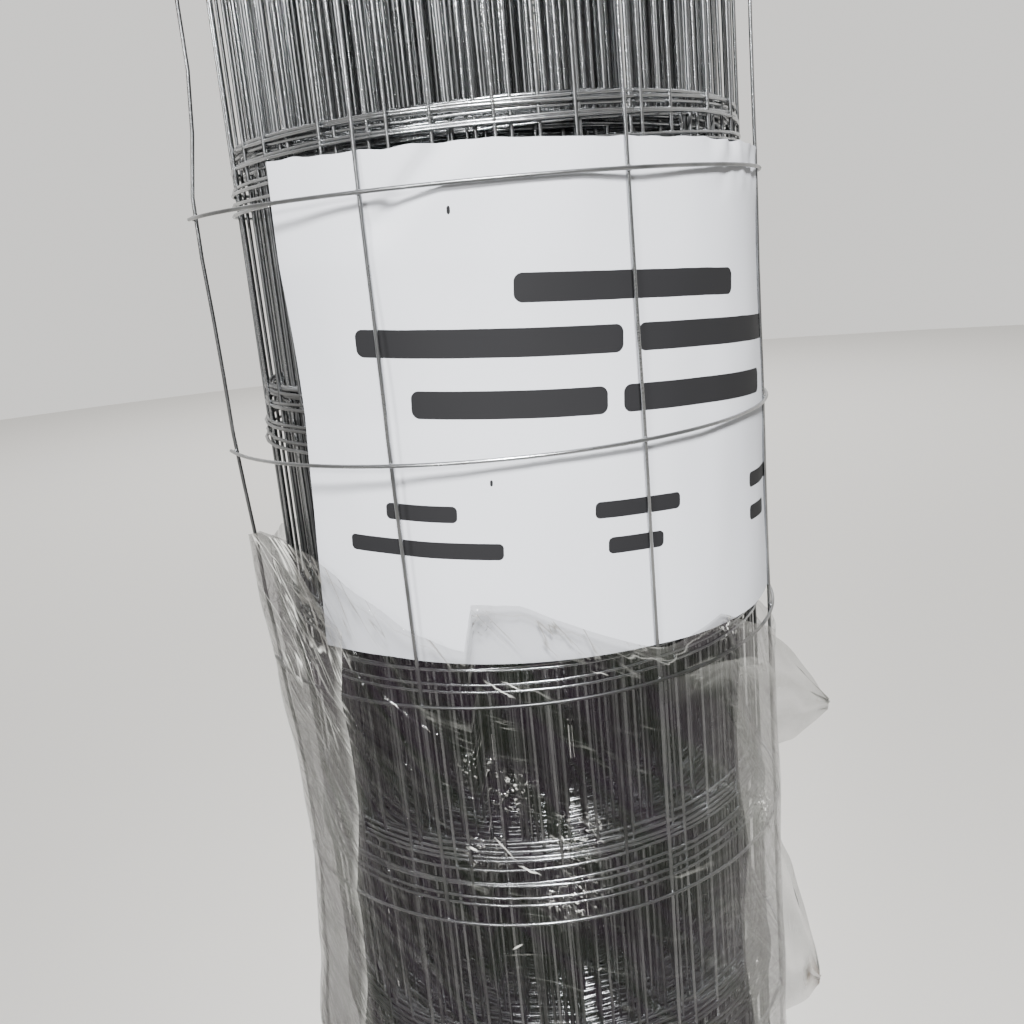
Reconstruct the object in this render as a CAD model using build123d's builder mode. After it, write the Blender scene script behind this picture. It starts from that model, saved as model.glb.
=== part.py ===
from build123d import *
import math
import os

# A roll of galvanised welded wire mesh that stands on its end, with a paper
# label under its loose last turn and a band of stretch film round it.
# Millimetres. +Z is up, and the origin is on the floor, on the axis of the roll.
# -Y is the side that the label faces, and +X is to the right of it.

# The sheet of mesh
mesh_pitch = 75.0  # between the wires, both ways
meshes_across = 24  # squares across the sheet, which is its height as it stands
cut_end = 2.0  # how far the cross wires are cut past the outer line wires
wire = 1.2  # across a wire, over its zinc
weld_sink = 0.2  # how far two wires sink into each other at a weld

# The tight turns
bore_radius = 25.0
tight_radius = 87.0
sheet_pitch = 0.442  # from one turn of the sheet to the next, which settles into it
turns_in_ridge = 21  # turns that show together as one ridge on the ends
ridge_groove = 2.4  # the open groove beside each ridge

# The loose last turn
loose_sink = 1.6  # how deep in the tight turns it begins, at the back
loose_right = 5.0  # how far it stands off them on the right
loose_left = 10.0  # and how far it would on the left, past its free end
free_end = 68.0  # degrees from the front round to the left, where it is cut off
last_stub = 4.0  # from its last cross wire to its cut end

# The paper label, an A5 sheet on its side
label_wide = 210.0
label_high = 148.0
label_thick = 0.3
label_gap = 0.3  # between it and the tight turns
label_top = 1285.4  # its upper edge, above the floor
label_turn = 25.5  # degrees from the front round to the right, at its middle

# The stretch film
film_wide = 500.0
film_thick = 0.4
film_gap = 0.3  # between it and the loose turn
film_top = 1171.0  # its upper edge, above the floor
tail_drops = [65.0, 150.0]  # from that edge to the two loose tails at the right
tail_highs = [49.0, 79.0]
tail_reaches = [22.0, 17.0]  # how far each tail stands out

# Worked out from the sizes above
height = meshes_across * mesh_pitch + 2 * cut_end
line_heights = [cut_end + k * mesh_pitch for k in range(meshes_across + 1)]
ridge_pitch = turns_in_ridge * sheet_pitch
ridge = ridge_pitch - ridge_groove
half_turns = int(2 * (tight_radius - bore_radius - ridge) / ridge_pitch)

# The loose turn in plan is one arc from inside the tight turns at the back to
# the right side, and another round the front to its free end on the left.
back_start = tight_radius - loose_sink
right_side = tight_radius + loose_right
left_side = tight_radius + loose_left
back_centre = (right_side**2 - back_start**2) / (2 * right_side)
back_radius = right_side - back_centre
back_turn = 180 - math.degrees(math.acos(back_centre / back_radius))
front_centre = (right_side - left_side) / 2
front_radius = (right_side + left_side) / 2


def loose_turn(outwards):
    CenterArc((back_centre, 0), back_radius + outwards, back_turn, -back_turn)
    CenterArc((front_centre, 0), front_radius + outwards, 0, -90 - free_end)


with BuildLine() as loose_path:
    loose_turn(wire / 2)
loose_wire = loose_path.wires()[0]


# One edge of the spiral on the roll's ends: half circles about two centres in
# turn, each half a pitch wider than the one before.
def spiral_edge(radius):
    side = 1
    for _ in range(half_turns):
        start = 0 if side > 0 else 180
        CenterArc((-side * ridge_pitch / 4, 0), radius + ridge_pitch / 4, start, 180)
        radius += ridge_pitch / 2
        side = -side
    return (side * radius, 0)


with BuildPart() as mesh_roll:
    # The tight turns, turned about the bore
    with BuildSketch(Plane.XZ):
        with Locations(((bore_radius + tight_radius) / 2, height / 2)):
            Rectangle(tight_radius - bore_radius, height - 2 * wire)
    revolve(axis=Axis.Z)

    # The turns that show on both ends
    with BuildSketch(Plane.XY, Plane.XY.offset(height - wire)):
        with BuildLine():
            inner_end = spiral_edge(bore_radius)
            outer_end = spiral_edge(bore_radius + ridge)
            Line((bore_radius, 0), (bore_radius + ridge, 0))
            Line(inner_end, outer_end)
        make_face()
    extrude(amount=wire)

    # The line wires of the loose turn
    with BuildSketch(*[Plane.XY.offset(z - wire / 2) for z in line_heights]):
        trace(loose_path.line, wire)
    extrude(amount=wire)

    # Its cross wires, welded inside the line wires
    with BuildSketch(Plane.XY):
        distance = loose_wire.length - last_stub
        while distance > wire:
            spot = loose_wire.position_at(distance, position_mode=PositionMode.LENGTH)
            along = loose_wire.tangent_at(distance, position_mode=PositionMode.LENGTH)
            inwards = Vector(along.Y, -along.X) * (wire - weld_sink)
            turned = Vector(1, 0, 0).get_signed_angle(along)
            with Locations(Location(spot + inwards, (0, 0, turned))):
                Rectangle(wire, wire)
            distance -= mesh_pitch
    extrude(amount=height)

# The label, curved round the front of the tight turns
label_inside = tight_radius + label_gap
label_arc = math.degrees(label_wide / label_inside)
label_first = label_turn - 90 - label_arc / 2

with BuildPart() as paper_label:
    with BuildSketch(Plane.XY.offset(label_top - label_high)):
        with BuildLine():
            back = CenterArc((0, 0), label_inside, label_first, label_arc)
            face = CenterArc((0, 0), label_inside + label_thick, label_first, label_arc)
            Line(back @ 0, face @ 0)
            Line(back @ 1, face @ 1)
        make_face()
    extrude(amount=label_high)

# The film, pulled straight from the free end to the turns below it
with BuildSketch() as wrapped:
    with BuildLine():
        loose_turn(wire)
        CenterArc((0, 0), tight_radius, 0, 360)
    make_hull()

with BuildPart() as film_wrap:
    with BuildSketch(Plane.XY.offset(film_top - film_wide)):
        offset(wrapped.sketch, amount=film_gap + film_thick)
        offset(wrapped.sketch, amount=film_gap, mode=Mode.SUBTRACT)
    extrude(amount=film_wide)

    # The tails, three-cornered flaps of loose film
    tail_root = right_side + wire + film_gap + film_thick / 2
    with BuildSketch(Plane.XZ):
        for drop, high, reach in zip(tail_drops, tail_highs, tail_reaches):
            top = film_top - drop
            tip = (tail_root + reach, top - 2 * high / 3)
            with BuildLine():
                Polyline((tail_root, top), tip, (tail_root, top - high), close=True)
            make_face()
    extrude(amount=film_thick / 2, both=True)

os.makedirs("parts", exist_ok=True)

mesh_roll.part.label = "mesh_roll"
export_step(mesh_roll.part, "parts/mesh_roll.step")

paper_label.part.label = "paper_label"
export_step(paper_label.part, "parts/paper_label.step")

film_wrap.part.label = "film_wrap"
export_step(film_wrap.part, "parts/film_wrap.step")
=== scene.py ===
import math
import random
import bmesh
import bpy
from mathutils import Matrix, Vector, geometry, noise


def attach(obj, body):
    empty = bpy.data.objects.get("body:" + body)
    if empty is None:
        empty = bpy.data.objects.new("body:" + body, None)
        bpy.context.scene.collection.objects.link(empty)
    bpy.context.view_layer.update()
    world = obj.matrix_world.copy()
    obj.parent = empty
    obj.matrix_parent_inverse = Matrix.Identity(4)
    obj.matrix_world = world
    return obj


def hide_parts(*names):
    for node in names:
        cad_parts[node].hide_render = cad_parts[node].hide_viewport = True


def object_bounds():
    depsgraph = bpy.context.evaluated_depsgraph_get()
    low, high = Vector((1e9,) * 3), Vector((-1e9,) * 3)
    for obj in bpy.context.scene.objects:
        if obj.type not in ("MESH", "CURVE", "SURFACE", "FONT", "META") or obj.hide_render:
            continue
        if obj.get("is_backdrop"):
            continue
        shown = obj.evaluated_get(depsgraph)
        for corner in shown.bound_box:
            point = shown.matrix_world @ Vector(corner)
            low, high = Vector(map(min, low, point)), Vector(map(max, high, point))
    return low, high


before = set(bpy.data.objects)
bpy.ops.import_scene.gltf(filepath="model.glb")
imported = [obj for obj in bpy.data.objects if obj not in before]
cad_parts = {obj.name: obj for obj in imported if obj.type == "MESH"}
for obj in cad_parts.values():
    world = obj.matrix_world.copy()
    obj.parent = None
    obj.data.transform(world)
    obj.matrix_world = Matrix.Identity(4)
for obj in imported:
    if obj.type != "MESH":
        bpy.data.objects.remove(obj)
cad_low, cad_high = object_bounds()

# The camera is held in front of the label, a little below the line wire that
# crosses it, and looks down at it. It leans, so the roll runs down to the right.
MM = 0.001
label_line = 1.277  # the line wire across the label, above the floor
camera_place = Vector((0, -0.3775, label_line - 0.0188))
yaw, pitch, lean = (math.radians(a) for a in (-0.35, 14.22, -5.39))
ahead = Vector((math.sin(yaw) * math.cos(pitch), math.cos(yaw) * math.cos(pitch), -math.sin(pitch)))
level = Vector((math.cos(yaw), -math.sin(yaw), 0))
upright = level.cross(ahead)
right = level * math.cos(lean) + upright * math.sin(lean)
up = upright * math.cos(lean) - level * math.sin(lean)
sensor_wide, frame_wide, focal_length = 36, 1024, 1027  # mm, and then both in pixels
camera = bpy.data.objects.new("camera", bpy.data.cameras.new("camera"))
camera.data.lens = sensor_wide * focal_length / frame_wide
camera.data.clip_start = 10 * MM
camera.matrix_world = Matrix.Translation(camera_place) @ Matrix((right, up, -ahead)).transposed().to_4x4()
bpy.context.collection.objects.link(camera)
bpy.context.scene.camera = camera


# The tight turns of the roll: one sheet of steel wires, welded into squares and
# then dipped in molten zinc. It is wound on itself with its line wires outside,
# so closely that the turns settle into each other and slip a little up the roll.
height = cad_high.z
wire = 1.2 * MM  # across, over its zinc
weld_sink = 0.2 * MM  # how far two wires sink into each other at a weld
mesh_pitch = 75 * MM
meshes_across = 24
cut_end = 2 * MM  # the cross wires run this far past the outer line wires
line_heights = [cut_end + k * mesh_pitch for k in range(meshes_across + 1)]
bore_radius = 25.6 * MM
tight_radius = 87.6 * MM
nested_turns = 7  # the outer turns, which have slipped so far that they lie almost in each other
nested_pitch = 0.35 * MM
sheet_pitch = 0.438 * MM
tight_turns = nested_turns + (tight_radius - nested_turns * nested_pitch - bore_radius) / sheet_pitch
leaves = math.radians(184.3)  # where the loose turn leaves, from the front round by the right
ridge_turns = 21  # from one groove on the roll's ends to the next
outer_turns = 10  # the turns that are drawn the finest,
middle_turns = 44  # and those that are drawn finer than the hidden ones


def ramp(x, start, end):
    """From 0 at the start, or before it, to 1 at the end, or past it."""
    return max(0, min(1, (x - start) / (end - start)))


def turn_radius(inside):
    """The radius of a turn, by how many turns lie over it."""
    sunk = 1.5 * MM * max(0, 1 - inside / 0.2) ** 2  # the outermost begins a little under the rest
    return tight_radius - sunk - nested_pitch * min(inside, nested_turns) - sheet_pitch * max(0, inside - nested_turns)


def on_tight(inside, z, outwards=0.0):
    """A point of the tight turns, by how many turns lie over it."""
    turn = leaves + 2 * math.pi * inside
    radius = turn_radius(inside) + outwards
    return (radius * math.sin(turn), -radius * math.cos(turn), z)


def slipped(inside, z):
    """How far up the roll a line wire has slipped. The ends of the roll are level."""
    # most just under the outer turns, a little less further in, and unevenly all through
    rise = 20.3 * MM * min(1, inside / nested_turns) - 6 * MM * ramp(inside, nested_turns, nested_turns + 8)
    rise += (0.6 + min(8, 0.5 * inside)) * MM * noise.noise(Vector((inside / 0.6, z * 1.5, 0.3)))
    rise += 0.9 * MM * noise.noise(Vector((inside / 0.12, z * 3, 0.9)))
    return rise * min(ramp(z, cut_end, cut_end + 0.6), ramp(height - z, cut_end, cut_end + 0.4))


def end_shift(inside, z):
    """How far a turn's ends lie inside the roll's own. The turns stand in ridges, with open grooves between."""
    groove = max(0, 1 - abs(inside % ridge_turns - 3) / 3)
    at_foot = z < height / 2
    dip = 7 * groove + 1.3 + 1.8 * noise.noise(Vector((inside / 0.5, 7.7 if at_foot else 2.2, 0)))
    near_end = max(0, 1 - min(z, height - z) / 0.25)
    return max(0, dip) * MM * near_end * (1 if at_foot else -1)


def wires(name, runs, sides):
    """Round wires, each along its own run of points, as one mesh."""
    curve = bpy.data.curves.new(name, "CURVE")
    curve.dimensions = "3D"
    curve.fill_mode = "FULL"
    curve.bevel_depth = wire / 2
    curve.bevel_resolution = (sides - 4) // 2  # 0 gives four sides, and each step two more
    curve.use_fill_caps = True
    for run in runs:
        spline = curve.splines.new("POLY")
        spline.points.add(len(run) - 1)
        spline.points.foreach_set("co", [x for point in run for x in (*point, 1)])
        spline.use_smooth = True
    drawn = bpy.data.objects.new(name, curve)
    bpy.context.collection.objects.link(drawn)
    mesh = bpy.data.meshes.new_from_object(drawn.evaluated_get(bpy.context.evaluated_depsgraph_get()))
    bpy.data.objects.remove(drawn)
    piece = bpy.data.objects.new(name, mesh)
    bpy.context.collection.objects.link(piece)
    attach(piece, "root")
    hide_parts("mesh_roll")
    return piece


def spaced(first, last, step):
    """Evenly spaced values with both ends, no further apart than the step."""
    count = max(2, math.ceil((last - first) / step) + 1)
    return [first + (last - first) * k / (count - 1) for k in range(count)]


# The cross wires stand inside the line wires. Each leans and waves a little.
chance = random.Random(7)
outer_crosses, inner_crosses = [], []
inside = 0.03  # turns from where the loose turn leaves to the first of them
while inside < tight_turns:
    slope = chance.gauss(0, 0.005)
    is_outer = inside < outer_turns
    per_length = 1 / (2 * math.pi * turn_radius(inside))
    run = []
    for z in spaced(0, height, mesh_pitch / (2 if is_outer else 1)):
        wave = slope * (z - height / 2) + 0.9 * MM * noise.noise(Vector((inside * 17, z * 5, 1)))
        inwards = wire - weld_sink + 0.5 * MM * noise.noise(Vector((inside * 13, z * 7, 5)))
        run.append(on_tight(inside + wave * per_length, z + end_shift(inside, z), -inwards))
    (outer_crosses if is_outer else inner_crosses).append(run)
    inside += mesh_pitch * per_length

# The line wires run round and round, one at each height
outer_lines, middle_lines, inner_lines = [], [], []
spans = (
    (0, outer_turns, 1 / 48, outer_lines),
    (outer_turns, middle_turns, 1 / 24, middle_lines),
    (middle_turns, tight_turns, 1 / 16, inner_lines),
)
for z in line_heights:
    for first, last, step, kept in spans:
        run = []
        for inside in spaced(first, last, step):
            swell = 0.5 * MM * noise.noise(Vector((inside * 8, z * 3, 2)))
            run.append(on_tight(inside, z + slipped(inside, z) + end_shift(inside, z), swell))
        kept.append(run)

lower_half = meshes_across // 2
tight_wires = [
    wires("outer_cross_wires", outer_crosses, 6),
    wires("inner_cross_wires", inner_crosses, 4),
    wires("outer_line_wires", outer_lines, 6),
    wires("middle_line_wires", middle_lines, 4),
    wires("inner_line_wires_low", inner_lines[:lower_half], 4),
    wires("inner_line_wires_high", inner_lines[lower_half:], 4),
]


def linear(hex_colour):
    """An sRGB hex colour as the linear one that a shader takes."""
    parts = [int(hex_colour[i:i + 2], 16) / 255 for i in (0, 2, 4)]
    return [p / 12.92 if p <= 0.04045 else ((p + 0.055) / 1.055) ** 2.4 for p in parts] + [1]


def node(tree, kind, settings, inputs):
    """Adds a node. An input takes a number or colour, an output, or a node, which gives its first output."""
    made = tree.nodes.new("ShaderNode" + kind)
    for name, value in settings.items():
        setattr(made, name, value)
    for name, value in inputs.items():
        if isinstance(value, bpy.types.Node):
            value = value.outputs[0]
        if isinstance(value, bpy.types.NodeSocket):
            tree.links.new(value, made.inputs[name])
        else:
            made.inputs[name].default_value = value
    return made


# Hot-dip galvanised steel wire. The zinc is a bright cool grey that has begun to
# dull in patches, some wires more than others, with small runs where it drained.
zinc = bpy.data.materials.new("hot_dip_galvanised_steel")
zinc.use_nodes = True
tree = zinc.node_tree
place = node(tree, "TexCoord", {}, {}).outputs["Object"]
patches = node(tree, "TexNoise", {}, {"Vector": place, "Scale": 1 / (18 * MM), "Detail": 3})  # some 18 mm across
drained = node(tree, "TexNoise", {}, {"Vector": place, "Scale": 1 / (2.2 * MM), "Detail": 2})  # and 2.2 mm
each_wire = node(tree, "NewGeometry", {}, {}).outputs["Random Per Island"]
dulled = node(tree, "Math", {"operation": "MULTIPLY_ADD"}, {0: each_wire, 1: 0.6, 2: -0.3})
dulled = node(tree, "Math", {"operation": "ADD"}, {0: dulled, 1: patches})
tone = node(tree, "ValToRGB", {}, {"Fac": dulled})
for stop, place_on_ramp, colour in zip(tone.color_ramp.elements, (0.25, 0.8), ("6a6b6c", "b6b8ba")):
    stop.position = place_on_ramp
    stop.color = linear(colour)
gloss = node(tree, "MapRange", {}, {"Value": dulled, "From Min": 0.2, "From Max": 0.8, "To Min": 0.36, "To Max": 0.2})
bump = node(tree, "Bump", {}, {"Height": drained, "Strength": 0.5, "Distance": 0.2 * MM})
shader = tree.nodes["Principled BSDF"]
shader.inputs["Metallic"].default_value = 1
for name, made in (("Base Color", tone), ("Roughness", gloss), ("Normal", bump)):
    tree.links.new(made.outputs[0], shader.inputs[name])
for piece in tight_wires:
    piece.data.materials.append(zinc)


# The last turn of the same sheet, which has sprung loose. It leaves the tight turns
# at the back and comes round by the right to its cut end on the left of the front.
back_start = 85.4 * MM  # from the axis to where it begins, inside the tight turns
right_side = 92 * MM
left_side = 97 * MM
free_end_at = 68  # degrees from the front round to the left
last_stub = 4 * MM  # from its last cross wire to its cut end
cross_spacing = 75.9 * MM  # of its cross wires, measured round it
free_end = math.radians(free_end_at)
back_centre = (right_side**2 - back_start**2) / (2 * right_side)
back_radius = right_side - back_centre + wire / 2
back_turn = math.pi - math.acos(back_centre / (right_side - back_centre))
front_centre = (right_side - left_side) / 2
front_radius = (right_side + left_side) / 2 + wire / 2
back_length = back_turn * back_radius
loose_length = back_length + (math.pi / 2 + free_end) * front_radius

# How far the free end stands out or is drawn in: heights in metres, and mm. It stands
# out beside the label, and is drawn in where the film is wound over it.
free_end_stand = [(0, 0), (0.5, 1), (0.671, -2), (0.8, -4), (0.9, 2), (0.975, 3.6), (1.012, -0.6), (1.05, -3.6),
                  (1.08, -3.2), (1.126, -0.6), (1.158, 1.5), (1.22, 4), (1.277, 5), (1.318, 0), (1.4, -1),
                  (1.55, 1), (1.81, 0)]


def sprung(z):
    """How far the free end stands out at a height, smoothly from one listed height to the next."""
    for (a, low), (b, high) in zip(free_end_stand, free_end_stand[1:]):
        if z <= b:
            t = (z - a) / (b - a)
            return (low + (high - low) * t * t * (3 - 2 * t)) * MM
    return 0


def on_loose(back, z, outwards=0.0):
    """A point of the loose turn, by its distance from the free end."""
    along = loose_length - back
    if along < back_length:
        turn, centre, radius = back_turn - along / back_radius, back_centre, back_radius + outwards
    else:
        turn, centre, radius = -(along - back_length) / front_radius, front_centre, front_radius + outwards
        radius += sprung(z) * max(0, (-turn - math.pi / 2) / free_end) ** 1.5
    return (centre + radius * math.cos(turn), radius * math.sin(turn), z)


loose_lines = wires("loose_line_wires", [[on_loose(back, z) for back in spaced(0, loose_length, 6 * MM)]
                                         for z in line_heights], 8)
weld_places = [last_stub + i * cross_spacing for i in range(6)]
runs = []
for back in weld_places:
    run = []
    for z in spaced(0, height, mesh_pitch / 4):
        at_weld = abs((z - cut_end) / mesh_pitch % 1 - 0.5) * 2  # 1 at a weld, 0 halfway between two
        wave = 0.5 * MM * noise.noise(Vector((back * 50, z * 8, 0)))
        run.append(on_loose(back + wave, z, weld_sink - wire - 0.3 * MM * (1 - at_weld)))
    runs.append(run)
loose_crosses = wires("loose_cross_wires", runs, 8)
for piece in (loose_lines, loose_crosses):
    piece.data.materials.append(zinc)


def smooth_piece(bm, name):
    """A smoothly shaded piece from a finished bmesh."""
    mesh = bpy.data.meshes.new(name)
    bm.to_mesh(mesh)
    bm.free()
    mesh.shade_smooth()
    piece = bpy.data.objects.new(name, mesh)
    bpy.context.collection.objects.link(piece)
    return piece


# The welds of the loose turn. Where two wires cross, a current has melted them
# together under pressure, and a small flat nugget of steel is left, zinc over all.
nugget_thick, nugget_wide, nugget_high = 0.7 * MM, 1.0 * MM, 0.9 * MM  # half of each
bm = bmesh.new()
for back in weld_places:
    for z in line_heights:
        x, y, _ = on_loose(back, z, (weld_sink - wire) / 2)
        turned = Matrix.Rotation(math.atan2(y, x), 4, "Z")
        squashed = turned @ Matrix.Diagonal((nugget_thick, nugget_wide, nugget_high, 1))
        placed = Matrix.Translation((x, y, z)) @ squashed
        bmesh.ops.create_uvsphere(bm, u_segments=8, v_segments=5, radius=1, matrix=placed)
nuggets = smooth_piece(bm, "weld_nuggets")
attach(nuggets, "root")
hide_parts("mesh_roll")
nuggets.data.materials.append(zinc)


# The label: a sheet of white office paper on its side, slipped between the tight
# turns and the loose one. It is held only by them, so it waves and its corners lift.
wide_mm, high_mm = 210, 148
label_wide, label_high = wide_mm * MM, high_mm * MM
label_top = 1.2854
label_left = math.radians(-43.4)
label_bend = 87.5 * MM  # the radius that it is bent to
label_rest = 88.4 * MM  # from the axis to just outside the tight turns
label_turns = label_wide / label_bend
label_tilt = math.radians(1.9)  # its left side is the higher
label_middle = 0.445  # radians from the front round to the right
label_fall = 0.0029  # how far its edges fall in a radian, from the tilt
aslant = 0.707  # for a crease at 45 degrees
bm = bmesh.new()
bm.loops.layers.uv.new("UVMap")
bmesh.ops.create_grid(bm, x_segments=105, y_segments=74, size=0.5, calc_uvs=True)
for vert in bm.verts:
    across, above = vert.co.x + 0.5, vert.co.y + 0.5
    turn = label_left + across * label_turns + label_tilt * (above - 0.5) * label_high / label_bend
    unevenness = (0.6 + 1.4 * max(0, (across - 0.6) / 0.4)) * MM  # of the upper edge, mostly on the right
    edge = unevenness * (noise.noise(Vector((across * 5, 0, 4))) + noise.noise(Vector((across * 30, 0, 4))))
    z = label_top - label_high * (1 - above) - label_tilt * (across - 0.5) * label_wide + edge * above**6

    # How far out it stands, in mm: long and short waves, and a bulge on the right and at the upper left
    out = 2.4 + 1.8 * noise.noise(Vector((across * 4, above * 2.5, 7)))
    out += 0.5 * noise.noise(Vector((across * 13, above * 3, 8)))
    out += min(ramp(across, 0.45, 0.8), ramp(across, 1.04, 0.76))
    out += 2.2 * ramp(across, 0.5, 0.25) * ramp(above, 0.5, 0.8)

    # The lifted upper right and lower left corners
    out += 1.5 * ramp(across, 0.72, 1) * ramp(above, 0.86, 1) * (0.7 + noise.noise(Vector((across * 22, 0, 9))))
    out += 1.8 * ramp(across, 0.12, 0) * ramp(above, 0.3, 0)

    # A crease that slants up to the edge near the upper left corner, and crumples along the edge on the right
    fold_right, fold_up = (across - 0.16) * wide_mm * aslant, (above - 0.87) * high_mm * aslant
    off_fold, along_fold = fold_up - fold_right, fold_up + fold_right
    crease = max(0, 1 - off_fold / 2.5 if off_fold > 0 else 1 + off_fold / 8)
    out -= 1.7 * crease * ramp(along_fold, -6, 2)
    crumpled = min(ramp(across, 0.6, 0.68), ramp(across, 0.86, 0.8)) * ramp(above, 0.88, 1)
    out += 2.2 * crumpled * noise.noise(Vector((across * 34, above * 14, 6)))
    radius = label_rest + max(0.2, out) * MM
    vert.co = (radius * math.sin(turn), -radius * math.cos(turn), z)
label = smooth_piece(bm, "paper_sheet")
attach(label, "root")
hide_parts("paper_label")

# Uncoated white office paper, faintly blue, with the matt black of a laser printer.
# The marks are plain bars with round corners, and two specks: the left, the right,
# the middle and the height of each, in mm from the middle of the sheet.
marks = [
    (-37, 37, 34.5, 8), (-82, -6, 19.7, 8), (-1, 71, 19.7, 8), (-66, -11, 2.5, 8), (-6, 60, 2.5, 8),
    (-76, -54, -29.5, 5), (-89, -41, -40.5, 5), (-15, 13, -29.5, 5), (-11, 7, -40.5, 5),
    (50, 78, -29.5, 5), (50, 66, -40.5, 5), (-53.4, -52.5, 55.2, 2.4), (-44.4, -43.6, -19.9, 2),
]
paper = bpy.data.materials.new("uncoated_office_paper")
paper.use_nodes = True
tree = paper.node_tree
sheet = node(tree, "TexCoord", {}, {}).outputs["UV"]
sheet = node(tree, "VectorMath", {"operation": "MULTIPLY"}, {0: sheet, 1: (wide_mm, high_mm, 0)})
sheet = node(tree, "VectorMath", {"operation": "SUBTRACT"}, {0: sheet, 1: (wide_mm / 2, high_mm / 2, 0)})
sheet = node(tree, "Mapping", {}, {"Vector": sheet, "Rotation": (0, 0, math.radians(2))})
printed = None
for left, right_end, middle, high in marks:
    corner = high * 0.3  # the radius of its corners
    half = ((right_end - left) / 2 - corner, high / 2 - corner, 1)
    away = node(tree, "VectorMath", {"operation": "SUBTRACT"}, {0: sheet, 1: ((left + right_end) / 2, middle, 0)})
    away = node(tree, "VectorMath", {"operation": "ABSOLUTE"}, {0: away})
    away = node(tree, "VectorMath", {"operation": "SUBTRACT"}, {0: away, 1: half})
    away = node(tree, "VectorMath", {"operation": "MAXIMUM"}, {0: away, 1: (0, 0, 0)})
    away = node(tree, "VectorMath", {"operation": "LENGTH"}, {0: away})
    mark = node(tree, "Math", {"operation": "LESS_THAN"}, {0: away.outputs["Value"], 1: corner})
    printed = node(tree, "Math", {"operation": "MAXIMUM"}, {0: printed, 1: mark}) if printed else mark
ink = node(tree, "MixRGB", {}, {"Fac": printed, "Color1": linear("b1b3b8"), "Color2": linear("121214")})
sheen = node(tree, "MapRange", {}, {"Value": printed, "To Min": 0.9, "To Max": 0.8})
shader = tree.nodes["Principled BSDF"]
shader.inputs["Specular IOR Level"].default_value = 0.25
for name, made in (("Base Color", ink), ("Roughness", sheen)):
    tree.links.new(made.outputs[0], shader.inputs[name])
label.data.materials.append(paper)


# The stretch film: one strip of clear polythene, wound under tension round the
# outside of the loose turn, one time and three quarters. Where it is doubled or
# gathered it is milky, and two flaps of it stand off on the right.
film_long, film_wide = 1.04, 0.5
film_bottom = 0.671
film_starts_at = 47  # degrees from the front round to the right
film_laps = 636 / 360
film_end_top = 1.147  # the upper corner at the strip's end
under_film = 87 * MM  # the tight turns, where it is pulled against them
least_radius = 88.5 * MM  # and the outermost line wires there
# The plan of what the film is pulled round: the loose turn, and the tight turns on the left
outline = [Vector(on_loose(back, 0, wire / 2)).xy for back in spaced(0, loose_length, 2 * MM)]
outline += [Vector((under_film * math.cos(a), under_film * math.sin(a))) for a in spaced(0, 2 * math.pi, 0.02)]
hull = [outline[i] for i in geometry.convex_hull_2d(outline)]
if sum(a.cross(b) for a, b in zip(hull, hull[1:] + hull[:1])) < 0:
    hull.reverse()


def film_radius(turn):
    """How far the pulled film is from the axis, straight across from wire to wire."""
    way = Vector((math.sin(turn), -math.cos(turn)))
    side = Vector((-way.y, way.x))
    for a, b in zip(hull, hull[1:] + hull[:1]):
        if side.dot(a) <= 0 < side.dot(b):
            t = -side.dot(a) / (side.dot(b) - side.dot(a))
            return way.dot(a.lerp(b, t))
    return under_film


# The upper edge, as heights by laps from the start of the strip
film_edge = [(0, 1.119), (0.07, 1.106), (0.3, 1.115), (0.5, 1.13), (0.66, 1.17), (0.706, 1.1765), (0.747, 1.1725),
             (0.772, 1.1646), (0.8, 1.1555), (0.825, 1.1473), (0.838, 1.1445), (0.842, 1.159), (0.862, 1.159),
             (0.884, 1.152), (0.908, 1.145), (0.94, 1.137), (0.985, 1.141), (1.01, 1.133), (1.07, 1.117),
             (1.15, 1.115), (1.4, 1.13), (1.6, 1.165), (1.7, 1.171), (1.735, 1.164), (1.77, 1.147)]


def film_top(lap):
    """The height of the upper edge, straight from one listed place to the next."""
    for (a, za), (b, zb) in zip(film_edge, film_edge[1:]):
        if lap <= b:
            return za + (zb - za) * (lap - a) / (b - a)
    return film_edge[-1][1]


# Where the film is rumpled: degrees from the front, height, and size across in mm
rumples = [(-6, 1.098, 6), (-12, 1.106, 4), (-12, 1.077, 5), (6, 1.079, 8), (4, 1.059, 7), (44, 1.1355, 5),
           (53, 1.1345, 5), (57, 1.059, 7), (-9, 1.154, 4)]

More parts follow.
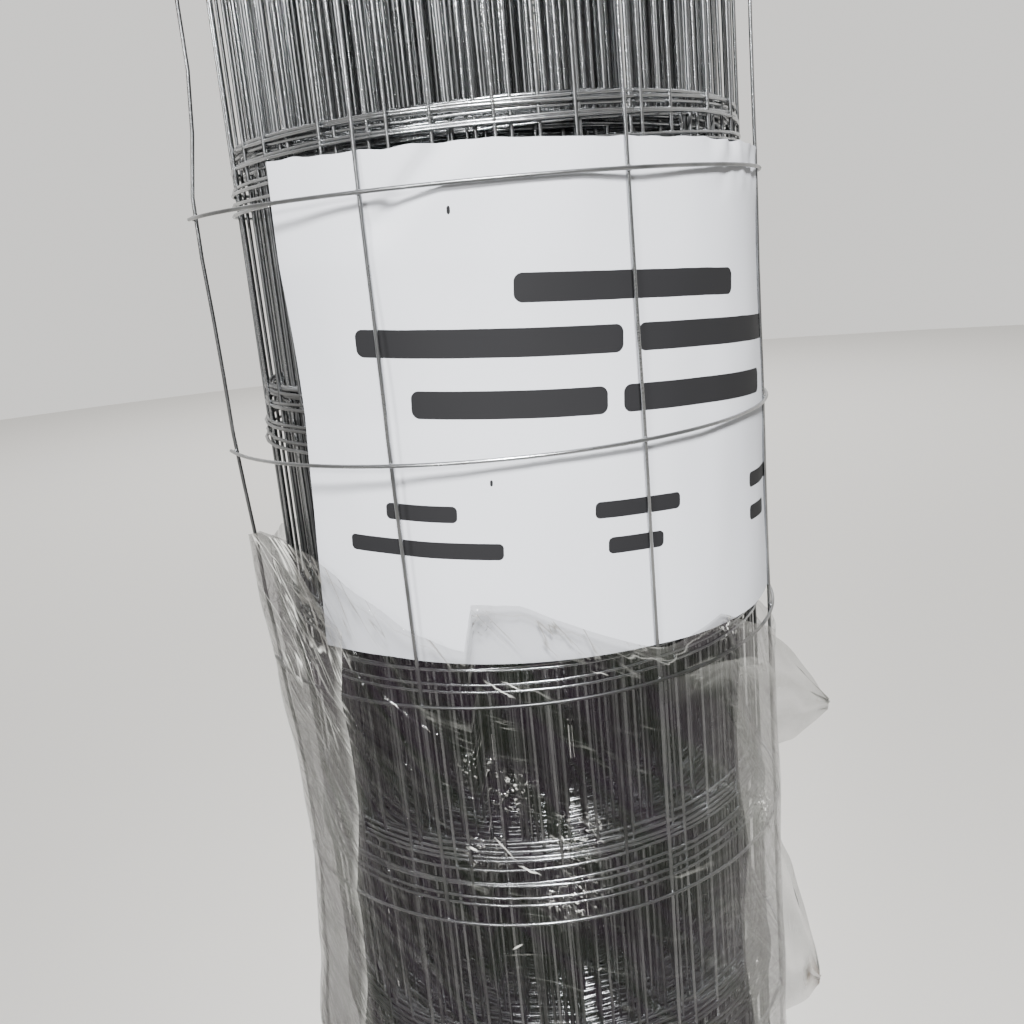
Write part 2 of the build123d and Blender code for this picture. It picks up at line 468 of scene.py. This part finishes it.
# What the material follows: how milky and how solid the film is (how solid also sets its painted shade), where it is
# gathered, hemmed, glinting (painted glints), soiled and over the paper, how many mm it is below the edge of a second
# layer, and where that layer shows
film_traits = ("haze", "thick", "gathered", "hem", "glinting", "soiled", "over_paper", "doubled", "veil")
bm = bmesh.new()
bm.loops.layers.uv.new("UVMap")
haze, thick, gathered, hem, glinting, soiled, over_paper, doubled, veil = (
    bm.verts.layers.float.new(name) for name in film_traits)
strip_uv = bm.loops.layers.uv["UVMap"]
closer_up = 1.4  # the grid is finer towards the upper edge
bmesh.ops.create_grid(bm, x_segments=300, y_segments=110, size=0.5, calc_uvs=True)
for face in bm.faces:
    for loop in face.loops:
        loop[strip_uv].uv.y = 1 - (1 - loop[strip_uv].uv.y)**closer_up
radii = {}  # by column of the grid
for vert in bm.verts:
    across, above = vert.co.x + 0.5, 1 - (0.5 - vert.co.y)**closer_up
    slant = math.radians(-70) * (film_end_top - film_bottom) * (1 - above)  # the last edge leans back
    lap = across * film_laps
    turn = math.radians(film_starts_at) + 2 * math.pi * lap + max(-0.26, slant) * across**4
    column = round(across * 3000)
    if column not in radii:
        radii[column] = film_radius(turn)
    top = film_top(lap)
    z = film_bottom + (top - film_bottom) * above
    front = math.degrees((turn + math.pi) % (2 * math.pi) - math.pi)  # from -180 at the back by the left

    # It sags between the wires of the loose turn, and creases all over
    between_hoops = math.sin(math.pi * ((z - line_heights[0]) / mesh_pitch % 1))
    between_wires = math.sin(math.pi * ((front + 66.6) / 46.5 % 1)) ** 2  # these are 46.5 degrees apart
    over_loose = min(ramp(front, -66, -54), ramp(front, 150, 110))
    sag = between_hoops * (0.8 + 2.6 * between_wires) * over_loose
    crease = 0.8 * noise.noise(Vector((turn * 9 + z * 40, z * 60, lap * 0.7)))
    crease += 0.3 * noise.noise(Vector((turn * 40, z * 160, 3)))
    drawn = max(0, -front / free_end_at) ** 1.5 if front > -free_end_at else ramp(front, -150, -free_end_at)
    radius = max(radii[column] + sprung(z) * drawn, least_radius) + (0.2 + 0.2 * lap - sag + 0.5 * crease) * MM
    waved = 1.2 * MM * noise.noise(Vector((lap * 60, above * 3, 1)))
    vert.co = (radius * math.sin(turn), -radius * math.cos(turn), z + waved)

    # Milky at its hem, at the strip's two ends, and where it lies double at the sides
    below_top = (1 - above) * (top - film_bottom)
    edge = ramp(below_top, 7 * MM, 0)
    ends = ramp(min(across, 1 - across) * film_long, 4 * MM, 0)
    end_here = -35 - 72 * max(0, min(0.13, film_end_top - z))  # the strip's end, degrees from the front
    sides = max(ramp(front, end_here, end_here - 2), ramp(front, 46, 48))
    behind = ramp(abs(front), 70, 95)
    is_left = -90 < front < -30
    low_down = ramp(z, 1.13, 1.1) if is_left else 1
    vert[haze] = max(0.1 * edge, 0.7 * ends, (0.04 + 0.1 * low_down if is_left else 0.24) * sides * (1 - 0.7 * behind))
    vert[hem] = edge

    rumpled = 0
    for at, up_there, size in rumples:
        apart = math.hypot(math.radians(front - at) * right_side / MM, (z - up_there) / MM)
        rumpled = max(rumpled, math.exp(-(apart / size)**2))
    vert[glinting] = rumpled

    paper_edge = label_top - label_high - label_fall * (math.radians(front) - label_middle)
    on_label = ramp(z, paper_edge, paper_edge + 3 * MM) if abs(front) < 50 else 0
    vert[over_paper] = on_label
    second_edge = 1.1268 - 1.6e-5 * max(0, front - 31) ** 2  # of another layer, on the right
    vert[doubled] = max(-9, min(12, (second_edge - z) / MM))
    vert[veil] = min(ramp(front, 24, 40), ramp(front, 100, 90)) if lap < 1.3 else 0
    near_top = ramp(below_top, 16 * MM, 0)
    at_sides = sides * (0.9 - 0.75 * low_down if is_left else 0.1)
    vert[gathered] = max(0.12 * rumpled, 0.9 * on_label * min(1, 1.6 * near_top), at_sides)
    # Its cover also sets how much its near-black colour darkens what is under it, a painted shade that is less over
    # the paper
    cover = 0.38 - 0.2 * on_label + (0.09 if is_left else 0.04) * sides
    vert[thick] = cover - 0.16 * behind + 0.12 * edge + 0.2 * rumpled

# The flaps, each pulled out to a tip: its top, its height, how far it stands out, and how far down the tip is
flap_root = 92.8 * MM
upper_flap, lower_flap = (1.106, 0.049, 0.0225, 0.68), (1.021, 0.09, 0.017, 0.84)
flaps = []
for _ in (upper_flap, lower_flap):
    flaps += bmesh.ops.create_grid(bm, x_segments=16, y_segments=14, size=0.5, calc_uvs=True)["verts"]
for count, vert in enumerate(flaps):
    is_lower = count >= len(flaps) // 2
    out, above = vert.co.x + 0.5, vert.co.y
    top, high, reach, tip_down = lower_flap if is_lower else upper_flap
    tip = top - high * tip_down
    z = tip + (top - high / 2 - tip + above * high) * (1 - 0.91 * out**1.3)
    fold = math.sin(out * 7 + above * 11) + 1.6 * noise.noise(Vector((out * 3, above * 5, is_lower)))
    ragged = 1.5 * MM * noise.noise(Vector((above * 8, out * 4, 5 + is_lower)))
    pleat = math.sin(above * 15 + 2.5 * noise.noise(Vector((out * 2, above * 3, 4 + is_lower))))  # out to the tip
    folded = (-4 + (1.6 * fold + 0.8 * pleat) * (0.3 + out) * (1 - out**3)) * MM
    vert.co = (flap_root + reach * out + ragged, folded, z + ragged)
    near_tip = max(0, out - 0.75) / 0.25
    # A painted highlight on the lower flap, where a fold is turned to the light: it is made milky white and solid
    # there
    painted_fold_highlight = is_lower * max(0, 1 - ((out - 0.7) / 0.13) ** 2 - ((above + 0.2) / 0.22) ** 2)  # a turned fold
    stain = min(1, 1.8 - 1.8 * ((out - 0.95) / 0.32) ** 2 - 1.8 * ((above + 0.2) / 0.4) ** 2)
    vert[haze] = 0.3 + 0.2 * pleat + 0.3 * near_tip + 1.2 * painted_fold_highlight
    vert[gathered] = 0.3 + 0.3 * max(0, out - 0.7) / 0.3
    vert[soiled] = 0.85 * is_lower * max(0, stain)
    vert[thick] = 0.42 + 0.12 * pleat + 0.3 * near_tip + 0.5 * painted_fold_highlight
bmesh.ops.recalc_face_normals(bm, faces=bm.faces)
film = smooth_piece(bm, "stretch_film")
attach(film, "root")
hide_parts("film_wrap")

# Linear low-density polythene, cast and stretched. Clear where it lies flat, it shines, and its near-black colour
# darkens what is under it, partly as its layers hold light back and partly as painted shade; creased or doubled, it is
# milky.
polythene = bpy.data.materials.new("cast_stretch_polythene")
polythene.use_nodes = True
tree = polythene.node_tree
strip = node(tree, "TexCoord", {}, {}).outputs["UV"]
strip = node(tree, "VectorMath", {"operation": "MULTIPLY"}, {0: strip, 1: (film_long, film_wide, 0)})
trait = {name: node(tree, "Attribute", {"attribute_name": name}, {}).outputs["Fac"] for name in film_traits}

# Long pulls nearly along the strip, and shorter gathers that slant: how far each is
# turned, in radians, its length and width in mm, and its detail
fields = []
for turned, long, wide, detail in ((-0.12, 120, 14, 4), (-0.8, 60, 11, 3)):
    laid = node(tree, "Mapping", {"vector_type": "TEXTURE"},
                {"Vector": strip, "Rotation": (0, 0, turned), "Scale": (long * MM, wide * MM, 1)})
    fields.append(node(tree, "TexNoise", {}, {"Vector": laid, "Scale": 1, "Detail": detail, "Distortion": 0.7}))
pulls, gathers = fields


def drawn_lines(field, level, half_wide, bright=1, core=0):
    """Fine lines, drawn where a field passes a level. They are the brightest in their core."""
    off = node(tree, "Math", {"operation": "SUBTRACT"}, {0: field, 1: level})
    off = node(tree, "Math", {"operation": "ABSOLUTE"}, {0: off})
    return node(tree, "MapRange", {}, {"Value": off, "From Min": core, "From Max": half_wide,
                                       "To Min": bright, "To Max": 0})


# Fine creases in patches, and strong ones where it is gathered, drawn pale: partly the whitening of creased film,
# partly painted highlight
patchy = node(tree, "MapRange", {}, {"Value": gathers, "From Min": 0.45, "From Max": 0.7, "To Max": 0.3})
fine = node(tree, "Math", {"operation": "MULTIPLY"}, {0: drawn_lines(pulls, 0.5, 0.008), 1: patchy})
strong = node(tree, "Math", {"operation": "MULTIPLY"}, {0: drawn_lines(gathers, 0.5, 0.016), 1: trait["gathered"]})
crease = node(tree, "Math", {"operation": "MAXIMUM"}, {0: fine, 1: strong})

# The upper edge has rolled in on itself, in a waving and broken line
waved = node(tree, "Math", {"operation": "MULTIPLY_ADD"}, {0: gathers, 1: 1.6, 2: trait["hem"]})
near_edge = node(tree, "MapRange", {}, {"Value": trait["hem"], "From Max": 0.15})
broken = node(tree, "MapRange", {}, {"Value": pulls, "From Min": 0.3, "From Max": 0.5})
near_edge = node(tree, "Math", {"operation": "MULTIPLY"}, {0: near_edge, 1: broken})
rolled = node(tree, "Math", {"operation": "MULTIPLY"}, {0: drawn_lines(waved, 1.3, 0.05, bright=0.32), 1: near_edge})
crease = node(tree, "Math", {"operation": "MAXIMUM"}, {0: crease, 1: rolled})

# Small glints, 2.5 mm apart, where it is rumpled: a bump, and pale flecks drawn as painted highlights
glints = node(tree, "TexNoise", {}, {"Vector": strip, "Scale": 1 / (2.5 * MM), "Detail": 1})
flecks = node(tree, "TexNoise", {}, {"Vector": strip, "Scale": 1 / (1.6 * MM), "Detail": 0})
flecks = node(tree, "MapRange", {}, {"Value": flecks, "From Min": 0.47, "From Max": 0.53})
painted_sparkle = node(tree, "Math", {"operation": "MULTIPLY"}, {0: drawn_lines(glints, 0.6, 0.045, core=0.01), 1: flecks})
painted_sparkle = node(tree, "Math", {"operation": "MULTIPLY"}, {0: painted_sparkle, 1: trait["glinting"]})
crease = node(tree, "Math", {"operation": "MAXIMUM"}, {0: crease, 1: painted_sparkle})

# Sharp folds, each drawn as a pale streak, a painted highlight: both ends, in degrees from the front and
# metres up, half the width in mm, and how bright
sharp_folds = [
    (-6, 1.1372, -1, 1.1318, 0.5, 1), (-9.6, 1.1374, -1.6, 1.129, 0.45, 1), (10.6, 1.1357, 14.9, 1.1327, 0.35, 0.7),
    (-14.8, 1.0806, -12.6, 1.0777, 0.7, 1.3), (-11, 1.0762, -4.6, 1.0728, 0.4, 0.8),
    (-6.2, 1.0742, -0.4, 1.0681, 0.65, 1.3), (-8.5, 1.0425, -5.5, 1.0465, 0.6, 1), (8, 1.0308, 9.4, 1.0319, 0.5, 0.8),
]
wander = 1.4 * MM
wavered = node(tree, "VectorMath", {"operation": "MULTIPLY_ADD"}, {0: glints, 1: (wander, wander, 0), 2: strip})
wavered = node(tree, "VectorMath", {"operation": "ADD"}, {0: wavered, 1: (0, 0, 1)})  # the 1 takes a fold's middle off
for first, first_up, last, last_up, half_wide, bright in sharp_folds:
    ends = []
    for degrees, up_there in ((first, first_up), (last, last_up)):
        lap = (degrees - film_starts_at) / 360 + 1
        up_strip = (up_there - film_bottom) / (film_top(lap) - film_bottom)
        ends.append(Vector((film_long * lap / film_laps, film_wide * up_strip, 0)))
    middle = (ends[0] + ends[1]) / 2
    along = (ends[1] - ends[0]) / 2
    along /= along.length_squared
    aside = Vector((-along.y, along.x, 0)).normalized() / (half_wide * MM)
    away = []
    for way in (along, aside):  # how far along the fold and to its side, by its half length and half width
        to_fold = (way.x, way.y, -way.dot(middle))
        far = node(tree, "VectorMath", {"operation": "DOT_PRODUCT"}, {0: wavered, 1: to_fold}).outputs["Value"]
        away.append(node(tree, "Math", {"operation": "MULTIPLY"}, {0: far, 1: far}))
    away = node(tree, "Math", {"operation": "ADD"}, {0: away[0], 1: away[1]})
    glint = node(tree, "MapRange", {}, {"Value": away, "From Min": 0.6, "From Max": 0, "To Max": bright})
    crease = node(tree, "Math", {"operation": "MAXIMUM"}, {0: crease, 1: glint})

# A second layer on the right, milkiest just below its edge
veiled = node(tree, "MapRange", {}, {"Value": trait["doubled"], "From Min": 0, "From Max": 0.5})
fading = node(tree, "MapRange", {}, {"Value": trait["doubled"], "From Max": 11, "To Min": 0.3, "To Max": 0.04})
veiled = node(tree, "Math", {"operation": "MULTIPLY"}, {0: veiled, 1: fading})
veiled = node(tree, "Math", {"operation": "MULTIPLY"}, {0: veiled, 1: trait["veil"]})

# From a dark clear film, faintly purple and green, whose dark is partly painted shade, to milky white, with the stain,
# and with its creases as dark lines over the paper, which are painted shade
pale = node(tree, "Math", {"operation": "MULTIPLY_ADD"}, {0: trait["haze"], 1: 0.75, 2: crease})
pale = node(tree, "Math", {"operation": "ADD", "use_clamp": True}, {0: pale, 1: veiled})
tinge = node(tree, "MapRange", {}, {"Value": gathers, "From Min": 0.4, "From Max": 0.6})
tone = node(tree, "MixRGB", {}, {"Fac": tinge, "Color1": linear("1c151c"), "Color2": linear("151813")})
tone = node(tree, "MixRGB", {}, {"Fac": pale, "Color1": tone, "Color2": linear("d2d2cb")})
tone = node(tree, "MixRGB", {}, {"Fac": trait["soiled"], "Color1": tone, "Color2": linear("6f5b48")})
# Painted shade: over the paper its creases are drawn as dark lines, and made more solid
crease_shade_on_paper = node(tree, "Math", {"operation": "MULTIPLY"}, {0: trait["over_paper"], 1: crease})
crease_shade_on_paper = node(tree, "Math", {"operation": "MULTIPLY", "use_clamp": True}, {0: crease_shade_on_paper, 1: 2.5})
tone = node(tree, "MixRGB", {}, {"Fac": crease_shade_on_paper, "Color1": tone, "Color2": linear("5f5d59")})
cover = node(tree, "Math", {"operation": "MULTIPLY_ADD"}, {0: veiled, 1: 0.4, 2: trait["thick"]})
cover = node(tree, "Math", {"operation": "MULTIPLY_ADD"}, {0: crease, 1: 0.4, 2: cover})
cover = node(tree, "Math", {"operation": "MULTIPLY_ADD", "use_clamp": True}, {0: crease_shade_on_paper, 1: 0.2, 2: cover})
glints = node(tree, "Math", {"operation": "MULTIPLY"}, {0: glints, 1: trait["glinting"]})
relief = node(tree, "Math", {"operation": "ADD"}, {0: pulls, 1: gathers})
relief = node(tree, "Math", {"operation": "MULTIPLY_ADD"}, {0: glints, 1: 1.3, 2: relief})
bump = node(tree, "Bump", {}, {"Height": relief, "Strength": 1, "Distance": 4 * MM})
shader = tree.nodes["Principled BSDF"]
shader.inputs["Roughness"].default_value = 0.08
for name, made in (("Base Color", tone), ("Alpha", cover), ("Normal", bump)):
    tree.links.new(made.outputs[0], shader.inputs[name])
film.data.materials.append(polythene)


# A pale floor, and soft light: a lamp over the camera, one on the left, one high over
# the floor behind, and a pale room that is bright behind the roll and dark before it
bm = bmesh.new()
bmesh.ops.create_circle(bm, cap_ends=True, segments=64, radius=12)
floor = smooth_piece(bm, "floor")
floor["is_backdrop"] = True
screed = bpy.data.materials.new("pale_floor")
screed.use_nodes = True
shader = screed.node_tree.nodes["Principled BSDF"]
shader.inputs["Base Color"].default_value = linear("f2f0ec")
shader.inputs["Roughness"].default_value = 0.9
floor.data.materials.append(screed)
world = bpy.data.worlds.new("pale_room")
world.use_nodes = True
tree = world.node_tree
way = node(tree, "SeparateXYZ", {}, {0: node(tree, "TexCoord", {}, {}).outputs["Generated"]})
bright = node(tree, "MapRange", {}, {"Value": way.outputs["Y"], "From Min": -0.8, "From Max": 0.6,
                                     "To Min": 0.1, "To Max": 1.15})
tree.nodes["Background"].inputs["Color"].default_value = linear("f6f4f0")
tree.links.new(bright.outputs["Result"], tree.nodes["Background"].inputs["Strength"])
bpy.context.scene.world = world

# Each lamp's place, what it points at, its size, power and spread
lamps = [
    ("key", (0.05, -1.1, 2.15), (0, 0, 1.2), 0.25, 11, 60),
    ("left_window", (-0.7, -1.5, 1.85), (0, 0, 1.3), 0.25, 3, 60),
    ("floor_light", (0, 7, 6), (0, 5, 0), 6, 450, 180),
]
for name, spot, aim, size, watts, spread in lamps:
    lamp = bpy.data.objects.new(name, bpy.data.lights.new(name, "AREA"))
    lamp.data.size = size
    lamp.data.energy = watts
    lamp.data.spread = math.radians(spread)
    lamp.location = spot
    lamp.rotation_euler = (Vector(aim) - lamp.location).to_track_quat("-Z", "Y").to_euler()
    bpy.context.collection.objects.link(lamp)

low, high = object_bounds()
